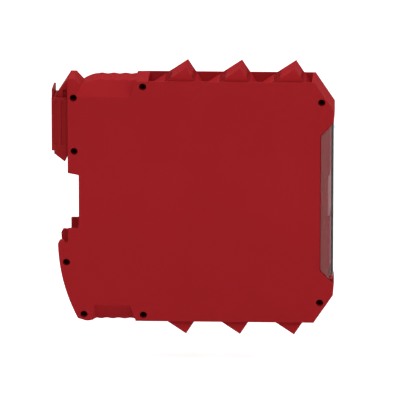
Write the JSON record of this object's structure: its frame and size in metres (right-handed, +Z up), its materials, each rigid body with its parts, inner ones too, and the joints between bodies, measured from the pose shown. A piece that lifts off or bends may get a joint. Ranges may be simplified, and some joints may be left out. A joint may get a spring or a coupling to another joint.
{
  "type": "safety relay",
  "caption": "Slim safety relay that clips on a 35 mm rail: red clamshell housing, saw-tooth rows of pull-off screw terminals above and below, sprung rail latch, clear hinged front flap.",
  "frame": {"origin": "on the front plane of the 35 mm rail, at the rail's centre line and the housing's mid-width", "axes": "+X out of the rail towards the user, +Y across the width, +Z up"},
  "size_m": [0.1138, 0.0226, 0.1096],
  "materials": {
    "housing": "fine matt moulding",
    "panel": "fine matt moulding",
    "clear_cover": "clear, slightly smoky",
    "light_guide": "clear",
    "marking": "matt",
    "circuit_board": "solder resist",
    "black_moulding": "matt",
    "relay_case": "satin",
    "lamp_body": "gloss",
    "core": "rolled sheet",
    "winding": "taped winding",
    "capacitor_sleeve": "gloss",
    "varistor_coat": "dipped coat",
    "chip_case": "matt",
    "header_moulding": "matt",
    "tinned_pin": "bright tin",
    "latch_moulding": "matt",
    "spring_steel": "drawn wire",
    "plug_moulding": "fine matt moulding",
    "plated_screw": "zinc plated",
    "plated_cage": "nickel plated",
    "contact_brass": "bright"
  },
  "bodies": {
    "housing": {"near_half_shell": "housing", "far_half_shell": "housing", "front_panel": "panel", "light_pipe": "light_guide", "marking_strip": "marking", "main_board": "circuit_board", "front_board": "circuit_board", "board_connector": "black_moulding", "safety_relay_1": "relay_case", "safety_relay_2": "relay_case", "indicator_lamps": "lamp_body", "transformer_core": "core", "transformer_coil": "winding", "supply_capacitors": "capacitor_sleeve", "surge_absorber": "varistor_coat", "monitoring_chips": "chip_case", "header_top_1": "header_moulding", "header_top_2": "header_moulding", "header_top_3": "header_moulding", "header_bottom_1": "header_moulding", "header_bottom_2": "header_moulding", "header_bottom_3": "header_moulding", "header_pins": "tinned_pin", "latch_spring": "spring_steel"},
    "latch": {"rail_latch": "latch_moulding"},
    "cover": {"front_cover": "clear_cover"},
    "plug_top_1": {"plug_top_1_body": "plug_moulding", "plug_top_1_screws": "plated_screw", "plug_top_1_cages": "plated_cage", "plug_top_1_contacts": "contact_brass"},
    "plug_top_2": {"plug_top_2_body": "plug_moulding", "plug_top_2_screws": "plated_screw", "plug_top_2_cages": "plated_cage", "plug_top_2_contacts": "contact_brass"},
    "plug_top_3": {"plug_top_3_body": "plug_moulding", "plug_top_3_screws": "plated_screw", "plug_top_3_cages": "plated_cage", "plug_top_3_contacts": "contact_brass"},
    "plug_bottom_1": {"plug_bottom_1_body": "plug_moulding", "plug_bottom_1_screws": "plated_screw", "plug_bottom_1_cages": "plated_cage", "plug_bottom_1_contacts": "contact_brass"},
    "plug_bottom_2": {"plug_bottom_2_body": "plug_moulding", "plug_bottom_2_screws": "plated_screw", "plug_bottom_2_cages": "plated_cage", "plug_bottom_2_contacts": "contact_brass"},
    "plug_bottom_3": {"plug_bottom_3_body": "plug_moulding", "plug_bottom_3_screws": "plated_screw", "plug_bottom_3_cages": "plated_cage", "plug_bottom_3_contacts": "contact_brass"}
  },
  "joints": [
    {"name": "latch_slide", "type": "slide", "parent": "housing", "child": "latch", "axis": [0, 0, 1], "range_m": [0, 0.0035], "stiffness_N_per_m": 1200, "springref_m": -0.0025, "deforming": ["latch_spring"]},
    {"name": "cover_hinge", "type": "hinge", "parent": "housing", "child": "cover", "pos_m": [0.1062, 0, -0.0304], "axis": [0, 1, 0], "range_deg": [0, 110]},
    {"name": "plug_top_1_pull", "type": "slide", "parent": "housing", "child": "plug_top_1", "axis": [0, 0, 1], "range_m": [0, 0.012]},
    {"name": "plug_top_2_pull", "type": "slide", "parent": "housing", "child": "plug_top_2", "axis": [0, 0, 1], "range_m": [0, 0.012]},
    {"name": "plug_top_3_pull", "type": "slide", "parent": "housing", "child": "plug_top_3", "axis": [0, 0, 1], "range_m": [0, 0.012]},
    {"name": "plug_bottom_1_pull", "type": "slide", "parent": "housing", "child": "plug_bottom_1", "axis": [0, 0, -1], "range_m": [0, 0.012]},
    {"name": "plug_bottom_2_pull", "type": "slide", "parent": "housing", "child": "plug_bottom_2", "axis": [0, 0, -1], "range_m": [0, 0.012]},
    {"name": "plug_bottom_3_pull", "type": "slide", "parent": "housing", "child": "plug_bottom_3", "axis": [0, 0, -1], "range_m": [0, 0.012]}
  ]
}
